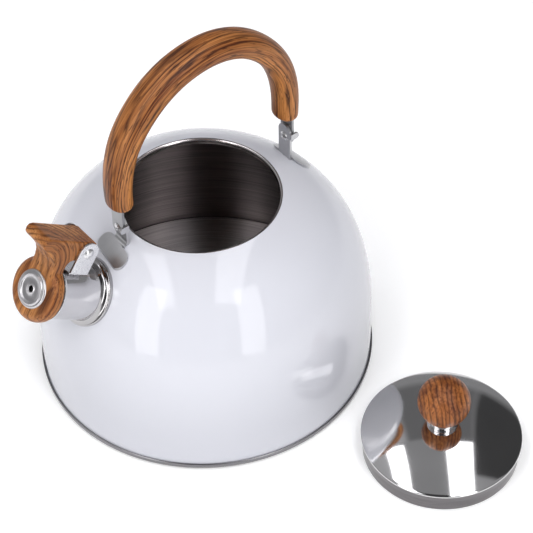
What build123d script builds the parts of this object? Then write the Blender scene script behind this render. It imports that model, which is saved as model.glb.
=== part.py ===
"""Stovetop whistling kettle with a domed body, a swinging arched handle, a sprung whistle lever on the spout
and a lift-off lid that lies beside the kettle.  Millimetres, +Z up, origin at the centre of the flat base.
The spout points along -X; the handle's arch lies in the XZ plane and folds towards +Y."""
from build123d import *
import math
import os

os.makedirs("parts", exist_ok=True)

# ---------------------------------------------------------------- driving dimensions
# body
R_BODY = 105.0            # outer radius of the straight wall
WALL = 0.8                # sheet thickness of the body
Z_DOME = 29.74            # height at which the wall starts to close in
H_DOME = 106.46           # height of the full dome above Z_DOME
P_DOME = 2.5288           # exponent of the dome's superellipse
R_MOUTH = 48.1            # bore of the filling mouth
LIP_START = 49.9          # radius at which the dome turns down into the mouth
LIP_STRAIGHT = 2.0        # straight length of the mouth's collar
Z_WALL_END = 2.0          # lower edge of the wall, inside the base seam
# base
FLOOR_TOP = 9.2
PAN_T = 0.8
SEAM_R = 106.1
SEAM_TOP = 4.6
SEAM_BOTTOM = 1.0
CAP_T = 0.7
CAP_R = 92.0
# spout
PHI = 36.0                # elevation of the spout's axis
S0 = (-86.12, 0.0, 103.72) # where the spout's axis leaves the dome
TUBE_R = 17.2
TUBE_T = 0.8
TUBE_END = 33.0
LIP_R = 18.7
FLANGE_R = 20.9
# whistle lever, in the spout's own axes: u along the spout, w across it in the XZ plane
PIV_U, PIV_W = 23.7, 31.8
LEVER_HALF = 9.6
DISC_R = 19.1
DISC_BACK, DISC_FRONT = 34.0, 41.2
PIN_R = 2.2
CHEEK_IN, CHEEK_T = 10.0, 1.2
# handle
PIVOT_Z = 138.1
STRAP_HALF = 5.4
EAR_FRONT = (-57.0, -55.5)
STRAP_FRONT = (-58.7, -57.2)
EAR_REAR = (65.2, 66.7)
STRAP_REAR = (66.9, 68.4)
EAR_RISE = 3.9            # height of the ear's rounded top above the rivet
FOOT_T = 1.5
FOOT_W, FOOT_L = 9.8, 26.4
RIVET_R = 2.2
GRIP_END_Z = 154.8
STRAP_TOP = 172.0
# lid
LID_XY = (56.0, -160.5)
LID_SKIRT_R = 47.6
LID_EDGE_R = 48.9
LID_T = 0.7
KNOB_R = 15.9
KNOB_Z = 43.2


def save(shape, name):
    shape.label = name
    export_step(shape, "parts/" + name + ".step")


# ---------------------------------------------------------------- body profile
def dome_rz(a):
    return (R_BODY * math.cos(a) ** (2 / P_DOME), Z_DOME + H_DOME * math.sin(a) ** (2 / P_DOME))


def dome_z(r):
    return Z_DOME + H_DOME * (1 - (r / R_BODY) ** P_DOME) ** (1 / P_DOME)


def dome_normal(r, z):
    nr = (r / R_BODY) ** (P_DOME - 1) / R_BODY
    nz = (max(z - Z_DOME, 0) / H_DOME) ** (P_DOME - 1) / H_DOME
    L = math.hypot(nr, nz)
    return nr / L, nz / L


def dome_points(r_end, off=0.0, n=26):
    """Points up the dome from the wall to radius r_end, moved off along the outward normal."""
    pts = []
    z_end = dome_z(r_end)
    a_end = math.atan2(((z_end - Z_DOME) / H_DOME) ** (P_DOME / 2), (r_end / R_BODY) ** (P_DOME / 2))
    for i in range(n + 1):
        t = i / n
        a = a_end * (t ** 1.25)
        r, z = (R_BODY, Z_DOME) if i == 0 else dome_rz(a)
        nr, nz = dome_normal(r, z)
        pts.append((r + off * nr, z + off * nz))
    return pts


def xz(p):
    return (p[0], 0, p[1])



def solid_dome(off=0.0, r_end=30.0, z_low=-5.0):
    """The filled volume under the dome's outer surface, offset outwards by off."""
    pts = dome_points(r_end, off)
    rr, zz = pts[-1]
    e = [
        Line((0, 0, z_low), (R_BODY + off, 0, z_low)),
        Line((R_BODY + off, 0, z_low), xz(pts[0])),
        Spline(*[xz(p) for p in pts], tangents=[(0, 0, 1), (-dome_normal(r_end, dome_z(r_end))[1], 0, dome_normal(r_end, dome_z(r_end))[0])]),
        Line(xz(pts[-1]), (0, 0, zz)),
        Line((0, 0, zz), (0, 0, z_low)),
    ]
    return revolve(Face(Wire(e)), Axis.Z, 360)


lip_z = dome_z(LIP_START)
lip_n = dome_normal(LIP_START, lip_z)
lip_rho = (LIP_START - R_MOUTH) / (1 + lip_n[0])
lip_c = (LIP_START - lip_n[0] * lip_rho, lip_z - lip_n[1] * lip_rho)
COLLAR_TOP = lip_c[1]
COLLAR_BOTTOM = COLLAR_TOP - LIP_STRAIGHT


def arc_pt(c, rho, n):
    return (c[0] + rho * n[0], c[1] + rho * n[1])


def arc_mid(rho):
    a0 = math.atan2(lip_n[1], lip_n[0])
    a = (a0 + math.pi) / 2
    return arc_pt(lip_c, rho, (math.cos(a), math.sin(a)))


outer = dome_points(LIP_START)
inner = dome_points(LIP_START, -WALL)
tan_end = (-lip_n[1], 0, lip_n[0])
edges = [
    Line((R_BODY - WALL, 0, Z_WALL_END), (R_BODY, 0, Z_WALL_END)),
    Line((R_BODY, 0, Z_WALL_END), xz(outer[0])),
    Spline(*[xz(p) for p in outer], tangents=[(0, 0, 1), tan_end]),
    ThreePointArc(xz(outer[-1]), xz(arc_mid(lip_rho)), (R_MOUTH, 0, COLLAR_TOP)),
    Line((R_MOUTH, 0, COLLAR_TOP), (R_MOUTH, 0, COLLAR_BOTTOM)),
    ThreePointArc((R_MOUTH, 0, COLLAR_BOTTOM), (R_MOUTH + WALL / 2, 0, COLLAR_BOTTOM - WALL / 2), (R_MOUTH + WALL, 0, COLLAR_BOTTOM)),
    Line((R_MOUTH + WALL, 0, COLLAR_BOTTOM), (R_MOUTH + WALL, 0, COLLAR_TOP)),
    ThreePointArc((R_MOUTH + WALL, 0, COLLAR_TOP), xz(arc_mid(lip_rho - WALL)), xz(inner[-1])),
    Spline(*[xz(p) for p in reversed(inner)], tangents=[tuple(-v for v in tan_end), (0, 0, -1)]),
    Line(xz(inner[0]), (R_BODY - WALL, 0, Z_WALL_END)),
]
body_shell = revolve(Face(Wire(edges)), Axis.Z, 360)

# spout axes: local z runs out along the spout, local x is w, local y is the kettle's y
phi = math.radians(PHI)
SP = Plane(origin=S0, x_dir=(math.sin(phi), 0, math.cos(phi)), z_dir=(-math.cos(phi), 0, math.sin(phi)))


def at_spout(shape):
    return SP.location * shape


def cyl_y(r, y0, y1, u, w):
    """Cylinder about the kettle's y direction, in the spout's axes."""
    c = Cylinder(r, y1 - y0, align=(Align.CENTER, Align.CENTER, Align.MIN))
    return Pos(w, y0, u) * Rot(-90, 0, 0) * c


def box(x0, x1, y0, y1, z0, z1):
    return Pos((x0 + x1) / 2, (y0 + y1) / 2, (z0 + z1) / 2) * Box(x1 - x0, y1 - y0, z1 - z0)


body_shell -= at_spout(Pos(0, 0, -14) * Cylinder(TUBE_R - TUBE_T, 28))
save(body_shell, "body_shell")

# ---------------------------------------------------------------- base: pan with a rolled seam, spreader disc, steel cap
r_in, r_out = R_BODY - WALL - 0.05, R_BODY + 0.05     # faces of the seam channel either side of the wall
leg = r_in - PAN_T
ub = Z_WALL_END - 0.1
zb = SEAM_BOTTOM
cr = 2.4
e = [
    Line((0, 0, FLOOR_TOP - PAN_T), (0, 0, FLOOR_TOP)),
    Line((0, 0, FLOOR_TOP), (r_in - cr, 0, FLOOR_TOP)),
    ThreePointArc((r_in - cr, 0, FLOOR_TOP), (r_in - cr + cr * math.sin(math.pi / 4), 0, FLOOR_TOP - cr + cr * math.cos(math.pi / 4)), (r_in, 0, FLOOR_TOP - cr)),
    Line((r_in, 0, FLOOR_TOP - cr), (r_in, 0, ub)),
    ThreePointArc((r_in, 0, ub), ((r_in + r_out) / 2, 0, ub - (r_out - r_in) / 2), (r_out, 0, ub)),
    Line((r_out, 0, ub), (r_out, 0, SEAM_TOP - 0.5)),
    ThreePointArc((r_out, 0, SEAM_TOP - 0.5), ((r_out + SEAM_R) / 2, 0, SEAM_TOP), (SEAM_R, 0, SEAM_TOP - 0.5)),
    Line((SEAM_R, 0, SEAM_TOP - 0.5), (SEAM_R, 0, zb + 1.1)),
    ThreePointArc((SEAM_R, 0, zb + 1.1), (SEAM_R - 0.32, 0, zb + 0.32), (SEAM_R - 1.1, 0, zb)),
    Line((SEAM_R - 1.1, 0, zb), (leg + 0.6, 0, zb)),
    ThreePointArc((leg + 0.6, 0, zb), (leg + 0.18, 0, zb + 0.18), (leg, 0, zb + 0.6)),
    Line((leg, 0, zb + 0.6), (leg, 0, FLOOR_TOP - cr)),
    ThreePointArc((leg, 0, FLOOR_TOP - cr), (r_in - cr + (cr - PAN_T) * math.sin(math.pi / 4), 0, FLOOR_TOP - cr + (cr - PAN_T) * math.cos(math.pi / 4)), (r_in - cr, 0, FLOOR_TOP - PAN_T)),
    Line((r_in - cr, 0, FLOOR_TOP - PAN_T), (0, 0, FLOOR_TOP - PAN_T)),
]
base_pan = revolve(Face(Wire(e)), Axis.Z, 360)
save(base_pan, "base_pan")

z_under = FLOOR_TOP - PAN_T
e = [
    Line((0, 0, 0), (CAP_R - 3.2, 0, 0)),
    ThreePointArc((CAP_R - 3.2, 0, 0), (CAP_R - 1.6, 0, 0.7), (CAP_R - 0.9, 0, 2.2)),
    Line((CAP_R - 0.9, 0, 2.2), (CAP_R, 0, z_under)),
    Line((CAP_R, 0, z_under), (CAP_R - CAP_T, 0, z_under)),
    Line((CAP_R - CAP_T, 0, z_under), (CAP_R - 0.9 - CAP_T, 0, 2.4)),
    ThreePointArc((CAP_R - 0.9 - CAP_T, 0, 2.4), (CAP_R - 2.1, 0, 1.2), (CAP_R - 3.4, 0, CAP_T)),
    Line((CAP_R - 3.4, 0, CAP_T), (0, 0, CAP_T)),
    Line((0, 0, CAP_T), (0, 0, 0)),
]
base_cap = revolve(Face(Wire(e)), Axis.Z, 360)
save(base_cap, "base_cap")
e = [
    Line((0, 0, CAP_T), (CAP_R - 3.4, 0, CAP_T)),
    ThreePointArc((CAP_R - 3.4, 0, CAP_T), (CAP_R - 2.1, 0, 1.2), (CAP_R - 0.9 - CAP_T, 0, 2.4)),
    Line((CAP_R - 0.9 - CAP_T, 0, 2.4), (CAP_R - CAP_T, 0, z_under)),
    Line((CAP_R - CAP_T, 0, z_under), (0, 0, z_under)),
    Line((0, 0, z_under), (0, 0, CAP_T)),
]
heat_disc = revolve(Face(Wire(e)), Axis.Z, 360)
save(heat_disc, "heat_spreader_disc")

# ---------------------------------------------------------------- spout
dome_fill = solid_dome(0.0)
dome_clear = solid_dome(0.02)


def rev_local(pts_or_edges):
    return revolve(Face(Wire(pts_or_edges)), Axis.Z, 360)


t0, t1 = TUBE_R - TUBE_T, TUBE_R
e = [
    Line((t0, 0, -8), (t1, 0, -8)),
    Line((t1, 0, -8), (t1, 0, TUBE_END - 2.8)),
    ThreePointArc((t1, 0, TUBE_END - 2.8), (t1 + 0.42, 0, TUBE_END - 1.15), (LIP_R, 0, TUBE_END - 0.25)),
    ThreePointArc((LIP_R, 0, TUBE_END - 0.25), (LIP_R - 0.05, 0, TUBE_END - 0.02), (LIP_R - 0.35, 0, TUBE_END)),
    ThreePointArc((LIP_R - 0.35, 0, TUBE_END), (t0 + 0.55, 0, TUBE_END - 0.75), (t0, 0, TUBE_END - 2.6)),
    Line((t0, 0, TUBE_END - 2.6), (t0, 0, -8)),
]
spout_tube = at_spout(rev_local(e)) - dome_clear
spout_tube = max(spout_tube.solids(), key=lambda s: s.volume)
save(spout_tube, "spout_tube")

g = TUBE_R + 0.03
e = [
    Line((g, 0, -8), (FLANGE_R, 0, -8)),
    Line((FLANGE_R, 0, -8), (FLANGE_R, 0, -0.9)),
    ThreePointArc((FLANGE_R, 0, -0.9), (FLANGE_R - 0.2, 0, -0.2), (FLANGE_R - 0.9, 0, 0.1)),
    ThreePointArc((FLANGE_R - 0.9, 0, 0.1), (g + 0.75, 0, 1.1), (g, 0, 3.6)),
    Line((g, 0, 3.6), (g, 0, -8)),
]
spout_flange = at_spout(rev_local(e)) - dome_clear
spout_flange = max(spout_flange.solids(), key=lambda s: s.volume)
save(spout_flange, "spout_flange")

# ---------------------------------------------------------------- lever bracket: base plate and two cheeks bent up from it
PL_W = TUBE_R
cheek_half = 6.75
base_plate = box(PL_W, PL_W + CHEEK_T, -(CHEEK_IN + CHEEK_T), CHEEK_IN + CHEEK_T, PIV_U - cheek_half, TUBE_END - 1.6)
cheeks = None
for y0 in (CHEEK_IN, -(CHEEK_IN + CHEEK_T)):
    c = box(PL_W, PIV_W, y0, y0 + CHEEK_T, PIV_U - cheek_half, PIV_U + cheek_half) + cyl_y(cheek_half, y0, y0 + CHEEK_T, PIV_U, PIV_W)
    cheeks = c if cheeks is None else cheeks + c
bracket = base_plate + cheeks
# round the outer bends of the two cheeks
try:
    bend = [ed for ed in bracket.edges().filter_by(Axis.Z) if abs(ed.center().X - PL_W) < 0.01 and abs(abs(ed.center().Y) - CHEEK_IN - CHEEK_T) < 0.01]
    bracket = fillet(bend, 1.0)
except Exception as ex:
    print("bracket bend left square", ex)
bracket -= cyl_y(PIN_R + 0.01, -20, 20, PIV_U, PIV_W)
bracket -= Pos(0, 0, TUBE_END - 2.82) * Cylinder(LIP_R + 0.03, 10, align=(Align.CENTER, Align.CENTER, Align.MIN))
bracket = max(bracket.solids(), key=lambda q: q.volume)
save(at_spout(bracket), "lever_bracket")

# rivet through the cheeks, with a domed head at each end
def dome_head(r, h):
    R = (r * r + h * h) / (2 * h)
    return Pos(0, 0, h - R) * Sphere(R) & Cylinder(r, h, align=(Align.CENTER, Align.CENTER, Align.MIN))


def rivet_y(y_low, y_high, r, head_r, head_h):
    s = cyl_y(r, y_low, y_high, 0, 0)
    s += Pos(0, y_high, 0) * Rot(-90, 0, 0) * dome_head(head_r, head_h)
    s += Pos(0, y_low, 0) * Rot(90, 0, 0) * dome_head(head_r, head_h)
    return s


half = CHEEK_IN + CHEEK_T + 0.03
pin = Pos(PIV_W, 0, PIV_U) * rivet_y(-half, half, PIN_R, 3.4, 1.5)
save(at_spout(pin), "lever_pivot_rivet")

# ---------------------------------------------------------------- lever: thumb tab, hub, neck and whistle disc in one moulding
def uw(u, w):
    return (w, 0, u)


prof = [
    (18.6, 37.0), (19.6, 38.0), (54.8, 38.0), (56.8, 37.2), (57.9, 35.2), (57.6, 32.8), (56.2, 31.6),
    (50.0, 28.9), (45.0, 26.0), (43.0, 23.6), (42.0, 20.0), (41.2, 12.0), (34.6, 12.0),
    (34.4, 22.0), (33.4, 24.8), (30.6, 26.0), (28.0, 25.7), (23.7, 25.4), (19.6, 27.2), (18.0, 31.0),
]
pts3 = [(w, -LEVER_HALF, u) for u, w in prof]
face = Face(Wire.make_polygon([Vector(*p) for p in pts3], close=True))
arm = extrude(face, LEVER_HALF * 2, dir=(0, 1, 0))
try:
    vert = [ed for ed in arm.edges().filter_by(Axis.Y) if ed.center().X > 30 and ed.center().Z > 50]
    arm = fillet(vert, 1.2)
except Exception as ex:
    print("thumb tab tip left sharp", ex)
e = [
    Line((0, 0, DISC_BACK), (DISC_R - 0.5, 0, DISC_BACK)),
    ThreePointArc((DISC_R - 0.5, 0, DISC_BACK), (DISC_R - 0.15, 0, DISC_BACK + 0.15), (DISC_R, 0, DISC_BACK + 0.6)),
    Line((DISC_R, 0, DISC_BACK + 0.6), (DISC_R - 0.2, 0, DISC_BACK + 3.4)),
    ThreePointArc((DISC_R - 0.2, 0, DISC_BACK + 3.4), (DISC_R - 1.5, 0, DISC_FRONT - 1.3), (DISC_R - 4.6, 0, DISC_FRONT)),
    Line((DISC_R - 4.6, 0, DISC_FRONT), (0, 0, DISC_FRONT)),
    Line((0, 0, DISC_FRONT), (0, 0, DISC_BACK)),
]
disc = rev_local(e)
lever = arm + disc
try:
    rim = [ed for ed in lever.edges().filter_by(GeomType.LINE) if abs(abs(ed.center().Y) - LEVER_HALF) < 0.01 and ed.center().X > 24]
    lever = fillet(rim, 1.0)
except Exception as ex:
    print("lever side edges left sharp", ex)
lever -= cyl_y(PIN_R + 0.07, -20, 20, PIV_U, PIV_W)
# pocket for the spring, open downwards, and a slot forward for its leg
lever -= cyl_y(4.3, -4.2, 4.2, PIV_U, PIV_W)
lever -= box(20.0, PIV_W, -4.2, 4.2, PIV_U - 4.3, PIV_U + 4.3)
lever -= box(28.6, 33.4, -4.2, 4.2, PIV_U, 33.0)
# whistle cavity
lever -= Pos(0, 0, 30) * Cylinder(9.0, 20, align=(Align.CENTER, Align.CENTER, Align.MIN))
lever -= Pos(0, 0, DISC_BACK - 1) * Cylinder(13.6, 2.0, align=(Align.CENTER, Align.CENTER, Align.MIN))
lever = max(lever.solids(), key=lambda s: s.volume)
save(at_spout(lever), "whistle_lever")

# whistle face: a turned steel cap with a raised ring and a sounding hole, its stem pressed into the disc
f = DISC_FRONT + 0.03
e = [
    Line((1.9, 0, f + 0.35), (1.9, 0, f + 1.1)),
    ThreePointArc((1.9, 0, f + 1.1), (2.3, 0, f + 1.35), (2.8, 0, f + 1.15)),
    ThreePointArc((2.8, 0, f + 1.15), (5.4, 0, f + 0.82), (7.8, 0, f + 1.15)),
    ThreePointArc((7.8, 0, f + 1.15), (8.9, 0, f + 1.9), (9.7, 0, f + 1.35)),
    Line((9.7, 0, f + 1.35), (10.2, 0, f + 1.3)),
    ThreePointArc((10.2, 0, f + 1.3), (11.3, 0, f + 1.15), (11.6, 0, f)),
    Line((11.6, 0, f), (8.95, 0, f)),
    Line((8.95, 0, f), (8.95, 0, f - 2.2)),
    Line((8.95, 0, f - 2.2), (8.15, 0, f - 2.2)),
    Line((8.15, 0, f - 2.2), (8.15, 0, f + 0.35)),
    Line((8.15, 0, f + 0.35), (1.9, 0, f + 0.35)),
]
save(at_spout(rev_local(e)), "whistle_face")

# inner whistle cup: closes the tube's mouth and carries the second sounding hole
b = DISC_BACK
e = [
    Line((1.6, 0, b - 2.9), (1.6, 0, b - 2.3)),
    Line((1.6, 0, b - 2.3), (12.6, 0, b - 2.3)),
    Line((12.6, 0, b - 2.3), (12.6, 0, b + 0.9)),
    Line((12.6, 0, b + 0.9), (13.5, 0, b + 0.9)),
    Line((13.5, 0, b + 0.9), (13.5, 0, b - 2.1)),
    ThreePointArc((13.5, 0, b - 2.1), (13.25, 0, b - 2.65), (12.7, 0, b - 2.9)),
    Line((12.7, 0, b - 2.9), (1.6, 0, b - 2.9)),
]
save(at_spout(rev_local(e)), "whistle_cup")

# silicone seal between the lever's disc and the mouth of the tube
seal = Pos(0, 0, TUBE_END + 0.12) * (Cylinder(LIP_R - 0.2, DISC_BACK - TUBE_END - 0.15, align=(Align.CENTER, Align.CENTER, Align.MIN)) - Cylinder(13.55, 5))
save(at_spout(seal), "spout_seal")

# torsion spring round the rivet: four turns and two legs
wire_r, coil_r, pitch, turns = 0.4, 3.15, 1.15, 4.0
hx = Helix(pitch=pitch, height=pitch * turns, radius=coil_r)
sec = Plane(origin=hx @ 0, z_dir=hx % 0) * Circle(wire_r)
coil = sweep(sec, path=hx, is_frenet=True)
coil = Pos(PIV_W, -pitch * turns / 2, PIV_U) * Rot(-90, 0, 0) * coil      # axis now along y


def rod(p, q, r):
    p, q = Vector(*p), Vector(*q)
    d = q - p
    return Plane(origin=p, z_dir=d) * Cylinder(r, d.length, align=(Align.CENTER, Align.CENTER, Align.MIN))


ya, yb = -pitch * turns / 2, pitch * turns / 2
# coil ends lie at w = PIV_W + coil_r, u = PIV_U
spring = coil + rod((PIV_W + coil_r, yb, PIV_U - 0.3), (30.7, yb, PIV_U + 8.6), wire_r)
spring += rod((PIV_W + coil_r, ya, PIV_U + 0.3), (PIV_W + 1.8, ya, PIV_U - 3.1), wire_r)
spring += rod((PIV_W + 1.8, ya, PIV_U - 3.1), (PL_W + CHEEK_T + 0.5, ya, PIV_U - 4.0), wire_r)
spring += Pos(PIV_W + 1.8, ya, PIV_U - 3.1) * Sphere(wire_r)
spring += Pos(PIV_W + coil_r, yb, PIV_U - 0.1) * Sphere(wire_r)
save(at_spout(spring), "lever_spring")

# ---------------------------------------------------------------- handle brackets on the dome
dome_foot = solid_dome(FOOT_T + 0.03)
dome_seat = solid_dome(0.03)


def bracket_on_dome(ear, foot_at, foot_turn, lug_to):
    """A steel bracket: a foot that hugs the dome, an upright ear with a rivet hole and a stop lug on its -Y edge."""
    x0, x1 = ear
    foot2d = fillet(Rectangle(FOOT_W, FOOT_L).vertices(), FOOT_W * 0.49)
    plug = extrude(Pos(*foot_at) * Rot(0, 0, foot_turn) * foot2d, 200)
    foot = (plug & dome_foot) - dome_seat
    foot = foot.solids()[0] if len(foot.solids()) == 1 else max(foot.solids(), key=lambda s: s.volume)
    ear_s = box(x0, x1, -STRAP_HALF, STRAP_HALF, 110, PIVOT_Z + EAR_RISE)
    ear_s += Pos(x0, 0, PIVOT_Z + EAR_RISE) * Rot(0, 90, 0) * Cylinder(STRAP_HALF, x1 - x0, align=(Align.CENTER, Align.CENTER, Align.MIN))
    side = 1 if foot_at[0] > 0 else -1
    xo = x1 if side > 0 else x0                      # the face that turns into the foot
    fillet_box = box(min(xo, xo + side * 2.6), max(xo, xo + side * 2.6), -STRAP_HALF, STRAP_HALF, 110, 140)
    xi = xo + side * 2.6
    top = dome_z(abs(xi)) + FOOT_T
    fillet_box -= Pos(xi, 0, top + 2.6) * Rot(90, 0, 0) * Cylinder(2.6, 40)
    fillet_box -= box(min(xo, xi) - 1, max(xo, xi) + 1, -20, 20, top + 2.6, 200)
    ear_s += fillet_box
    lx0, lx1 = (x0, lug_to) if lug_to > x0 else (lug_to, x1)
    yo, yi = -(STRAP_HALF + 1.5), -(STRAP_HALF + 0.3)
    lug = box(lx0, lx1, yo, yi, PIVOT_Z + 0.6, PIVOT_Z + 5.0)
    tip = lug.edges().filter_by(Axis.Y)
    tip = [ed for ed in tip if abs(ed.center().X - lug_to) < 0.01]
    lug = fillet(tip, 1.9)
    lug += box(x0, x1, yo, -4.5, PIVOT_Z + 0.6, PIVOT_Z + 5.0)
    s = (ear_s + lug) - dome_seat
    s = foot + s
    s -= Pos(x0 - 5, 0, PIVOT_Z) * Rot(0, 90, 0) * Cylinder(RIVET_R + 0.01, 20, align=(Align.CENTER, Align.CENTER, Align.MIN))
    return s


front_bracket = bracket_on_dome(EAR_FRONT, (-64.2, -0.4), -8.0, -61.4)
rear_bracket = bracket_on_dome(EAR_REAR, (71.6, 0.2), 8.0, 71.0)
save(front_bracket, "front_handle_bracket")
save(rear_bracket, "rear_handle_bracket")


def rivet_x(xa, xb):
    """Rivet along X from xa to xb (the outside faces it clamps), heads outside them."""
    s = Pos(xa, 0, PIVOT_Z) * Rot(0, 90, 0) * Cylinder(RIVET_R, xb - xa, align=(Align.CENTER, Align.CENTER, Align.MIN))
    s += Pos(xb, 0, PIVOT_Z) * Rot(0, 90, 0) * dome_head(3.3, 1.2)
    s += Pos(xa, 0, PIVOT_Z) * Rot(0, -90, 0) * dome_head(3.3, 1.2)
    # rolled hollow end of the shank
    s -= Pos(xb + 2, 0, PIVOT_Z) * Rot(0, -90, 0) * Cone(1.5, 0.7, 2.2, align=(Align.CENTER, Align.CENTER, Align.MIN))
    s -= Pos(xa - 2, 0, PIVOT_Z) * Rot(0, 90, 0) * Cone(1.5, 0.7, 2.2, align=(Align.CENTER, Align.CENTER, Align.MIN))
    return s


save(rivet_x(STRAP_FRONT[0] - 0.12, EAR_FRONT[1] + 0.03), "front_handle_rivet")
save(rivet_x(EAR_REAR[0] - 0.03, STRAP_REAR[1] + 0.12), "rear_handle_rivet")

# ---------------------------------------------------------------- handle
def strap(xs, top):
    x0, x1 = xs
    s = box(x0, x1, -STRAP_HALF, STRAP_HALF, PIVOT_Z, top)
    s += Pos(x0, 0, PIVOT_Z) * Rot(0, 90, 0) * Cylinder(STRAP_HALF, x1 - x0, align=(Align.CENTER, Align.CENTER, Align.MIN))
    s -= Pos(x0 - 2, 0, PIVOT_Z) * Rot(0, 90, 0) * Cylinder(RIVET_R + 0.08, 10, align=(Align.CENTER, Align.CENTER, Align.MIN))
    return s


front_strap = strap(STRAP_FRONT, STRAP_TOP)
rear_strap = strap(STRAP_REAR, STRAP_TOP)
GRIP_PIN_Z, GRIP_PIN_R = 165.0, 1.5


def grip_pin(xs, grow=0.0):
    x0, x1 = xs[0] - 3.2, xs[1] + 3.2
    return Pos(x0 - grow, 0, GRIP_PIN_Z) * Rot(0, 90, 0) * Cylinder(GRIP_PIN_R + grow, x1 - x0 + 2 * grow, align=(Align.CENTER, Align.CENTER, Align.MIN))


front_strap -= grip_pin(STRAP_FRONT, 0.02)
rear_strap -= grip_pin(STRAP_REAR, 0.02)
save(grip_pin(STRAP_FRONT), "front_grip_pin")
save(grip_pin(STRAP_REAR), "rear_grip_pin")
save(front_strap, "front_handle_strap")
save(rear_strap, "rear_handle_strap")

# grip centre line (x, z) with half thickness in the arch's plane and half width across it
GRIP = [
    (-56.0, 154.8), (-56.4, 163.0), (-56.0, 173.0), (-54.2, 184.0), (-50.6, 195.2), (-45.2, 205.0), (-38.0, 213.8),
    (-29.0, 221.9), (-18.6, 228.2), (-7.2, 232.2), (4.8, 233.9), (16.8, 233.1), (28.2, 229.7), (38.8, 223.7),
    (48.2, 215.5), (55.8, 206.0), (61.2, 195.2), (64.6, 183.0), (66.0, 170.0), (65.8, 154.8),
]


def grip_half(i):
    """Half thickness in the arch's plane and half width across it, thickest at the top of the arch."""
    t = max(0.0, min(1.0, (GRIP[i][1] - GRIP_END_Z) / (233.9 - GRIP_END_Z)))
    k = math.sin(t * math.pi / 2) ** 1.3
    thin = 7.2 if GRIP[i][0] < 0 else 7.0
    return thin + (8.2 - thin) * k, thin + 2.0 + (10.8 - thin - 2.0) * k


secs = []
for i, (x, z) in enumerate(GRIP):
    a, bb = grip_half(i)
    if i == 0:
        d = (0, 1)
    elif i == len(GRIP) - 1:
        d = (0, -1)
    else:
        d = (GRIP[i + 1][0] - GRIP[i - 1][0], GRIP[i + 1][1] - GRIP[i - 1][1])
    L = math.hypot(*d)
    t = (d[0] / L, 0, d[1] / L)
    pl = Plane(origin=(x, 0, z), x_dir=(0, 1, 0), z_dir=t)
    secs.append(pl * Ellipse(bb, a))
grip = loft(secs)
try:
    ends = [ed for ed in grip.edges() if abs(ed.center().Z - GRIP_END_Z) < 0.5 and ed.bounding_box().size.Z < 0.5]
    grip = fillet(ends, 3.6)
except Exception as ex:
    print("grip ends left square", ex)
for xs in (STRAP_FRONT, STRAP_REAR):
    grip = grip - box(xs[0] - 0.02, xs[1] + 0.02, -STRAP_HALF - 0.02, STRAP_HALF + 0.02, 140, STRAP_TOP + 0.02)
    grip = grip - grip_pin(xs, 0.02)
grip = max(grip.solids(), key=lambda s: s.volume)
save(grip, "handle_grip")

# ---------------------------------------------------------------- lid, laid on the table beside the kettle
LID_Z_EDGE, LID_DOME_R = 14.0, 108.0      # height of the dome's edge, radius of the dome's sphere


def lid_drop(r):
    return LID_DOME_R - math.sqrt(LID_DOME_R ** 2 - r * r)


LID_Z_TOP = LID_Z_EDGE + lid_drop(LID_EDGE_R - 0.6)


def lid_outer(r):
    return LID_Z_TOP - lid_drop(r)


r_edge = LID_EDGE_R - 0.6
top_pts = [(3.0, 0, lid_outer(3.0)), (26.0, 0, lid_outer(26.0)), (r_edge, 0, LID_Z_EDGE)]
in_r = LID_DOME_R - LID_T


def lid_inner(r):
    return LID_Z_TOP - LID_T - (in_r - math.sqrt(in_r ** 2 - r * r))


r_in = r_edge - 0.95
in_pts = [(3.0, 0, lid_inner(3.0)), (26.0, 0, lid_inner(26.0)), (r_in, 0, lid_inner(r_in))]
e = [
    Line(in_pts[0], top_pts[0]),
    ThreePointArc(*top_pts),
    ThreePointArc(top_pts[-1], (LID_EDGE_R, 0, LID_Z_EDGE - 0.85), (LID_EDGE_R - 0.5, 0, LID_Z_EDGE - 1.75)),
    Line((LID_EDGE_R - 0.5, 0, LID_Z_EDGE - 1.75), (LID_SKIRT_R + 0.5, 0, LID_Z_EDGE - 1.95)),
    ThreePointArc((LID_SKIRT_R + 0.5, 0, LID_Z_EDGE - 1.95), (LID_SKIRT_R + 0.13, 0, LID_Z_EDGE - 2.1), (LID_SKIRT_R, 0, LID_Z_EDGE - 2.5)),
    Line((LID_SKIRT_R, 0, LID_Z_EDGE - 2.5), (LID_SKIRT_R, 0, 0.5)),
    ThreePointArc((LID_SKIRT_R, 0, 0.5), (LID_SKIRT_R - 0.5, 0, 0), (LID_SKIRT_R - 1.0, 0, 0.5)),
    ThreePointArc((LID_SKIRT_R - 1.0, 0, 0.5), (LID_SKIRT_R - 0.95, 0, 0.8), (LID_SKIRT_R - LID_T, 0, 1.2)),
    Line((LID_SKIRT_R - LID_T, 0, 1.2), (LID_SKIRT_R - LID_T, 0, LID_Z_EDGE - 1.9)),
    Line((LID_SKIRT_R - LID_T, 0, LID_Z_EDGE - 1.9), in_pts[-1]),
    ThreePointArc(*reversed(in_pts)),
]
lid_at = Pos(LID_XY[0], LID_XY[1], 0)
lid_shell = revolve(Face(Wire(e)), Axis.Z, 360)
save(lid_at * lid_shell, "lid_shell")

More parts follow.
